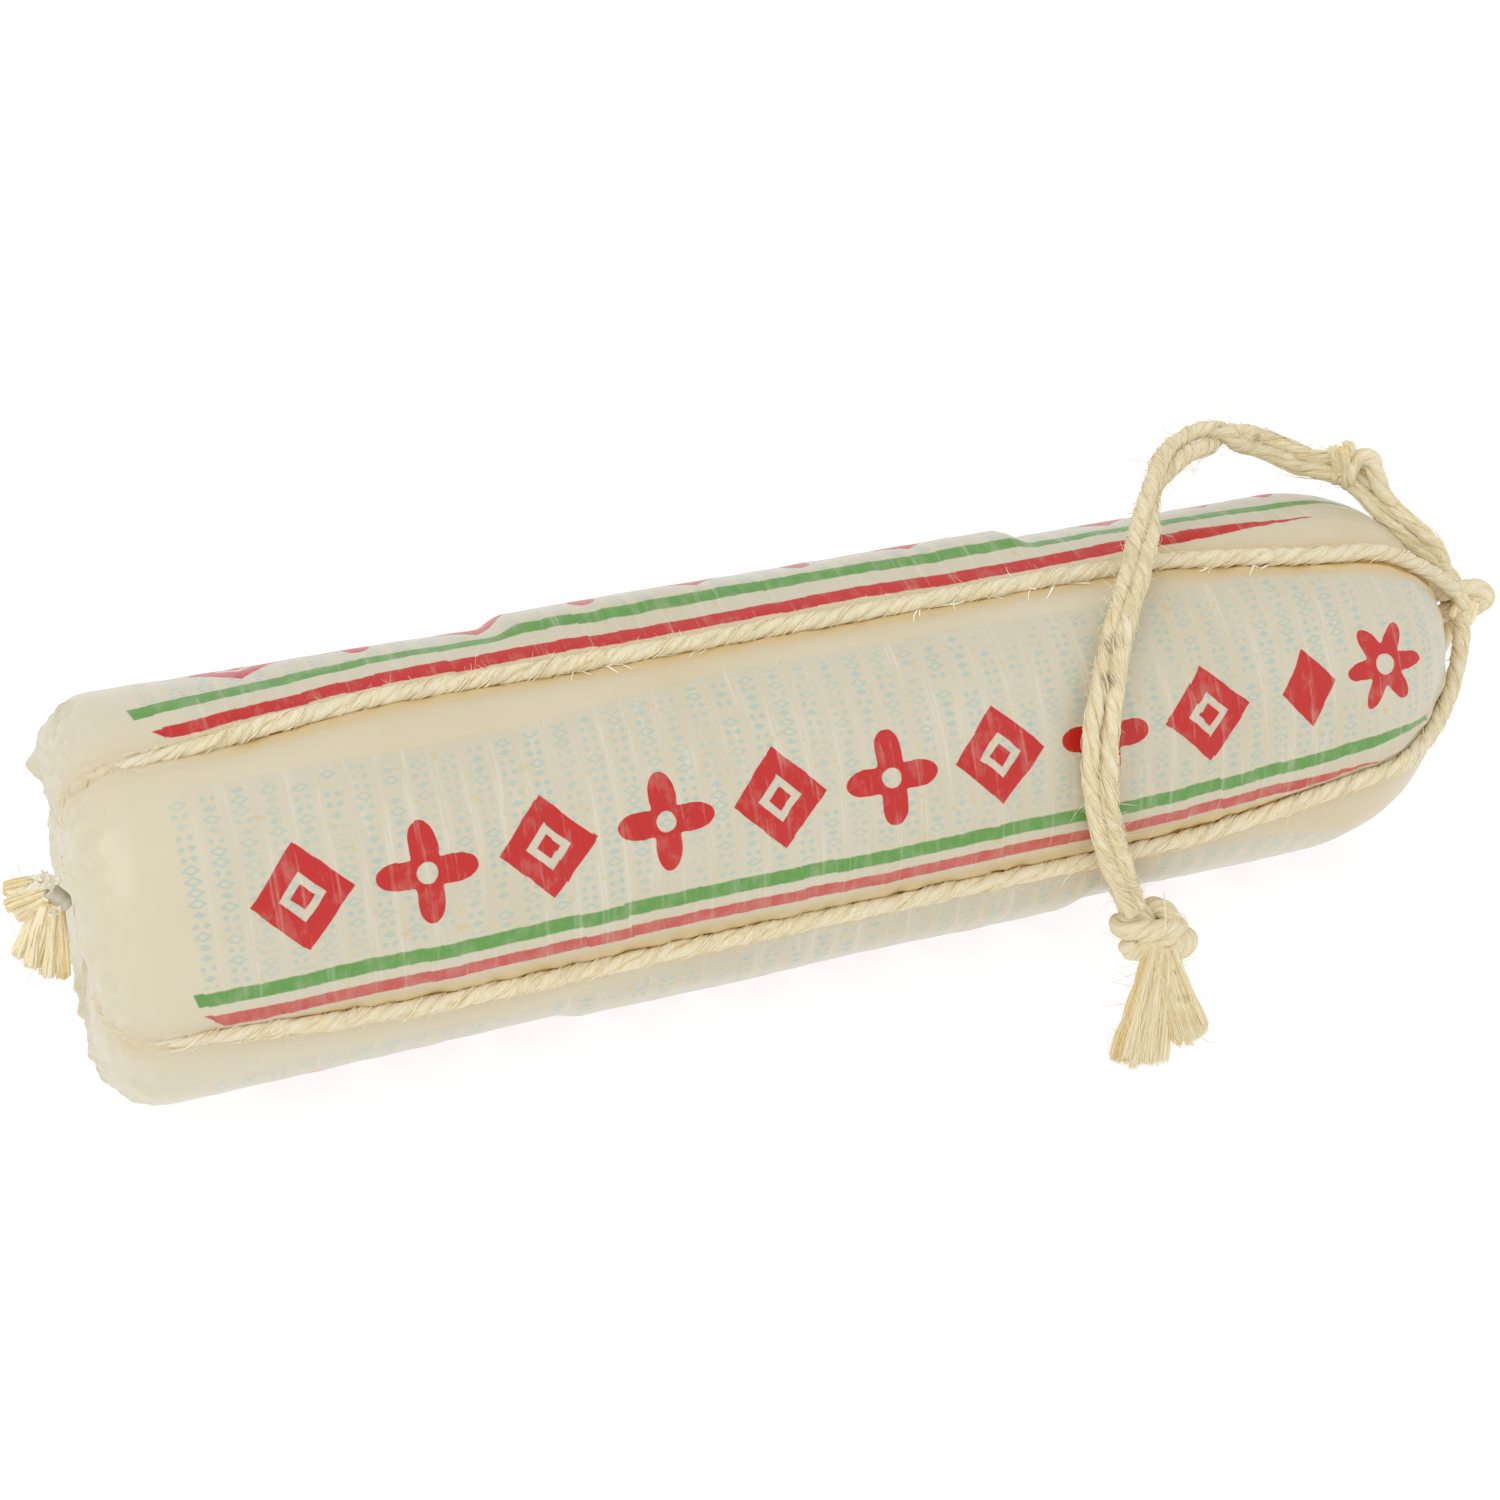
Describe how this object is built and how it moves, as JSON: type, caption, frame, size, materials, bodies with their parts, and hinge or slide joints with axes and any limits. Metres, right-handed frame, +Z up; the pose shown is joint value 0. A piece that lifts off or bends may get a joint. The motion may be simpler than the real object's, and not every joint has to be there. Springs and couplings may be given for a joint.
{
  "type": "whole provolone cheese",
  "caption": "Long barrel-shaped wax-skinned provolone cheese lying on its side, bound lengthwise with sisal rope, with a rope loop that ends in a knot and tassel.",
  "frame": {"origin": "centre of the bounding box's base, on the ground under the middle of the cheese, measured without the free cord", "axes": "+X along the cheese towards its domed end with the end knot, -Y is the side that the loop hangs down, +Z up"},
  "size_m": [0.4707, 0.1701, 0.1412],
  "materials": {
    "wax_skin": "satin wax over a printed film",
    "sisal": "laid natural fibre, slightly waxed",
    "clip_metal": "dull, crimped"
  },
  "bodies": {
    "root": {"cheese": "wax_skin", "binding_rope_top": "sisal", "binding_rope_back": "sisal", "binding_rope_under": "sisal", "binding_rope_front": "sisal", "clip": "clip_metal", "cut_end_left": "sisal", "cut_end_lower": "sisal", "end_knot": "sisal", "shoulder_rope": "sisal", "loop_hitch": "sisal", "hanging_rope": "sisal", "tail_knot": "sisal", "tassel": "sisal"}
  },
  "joints": []
}
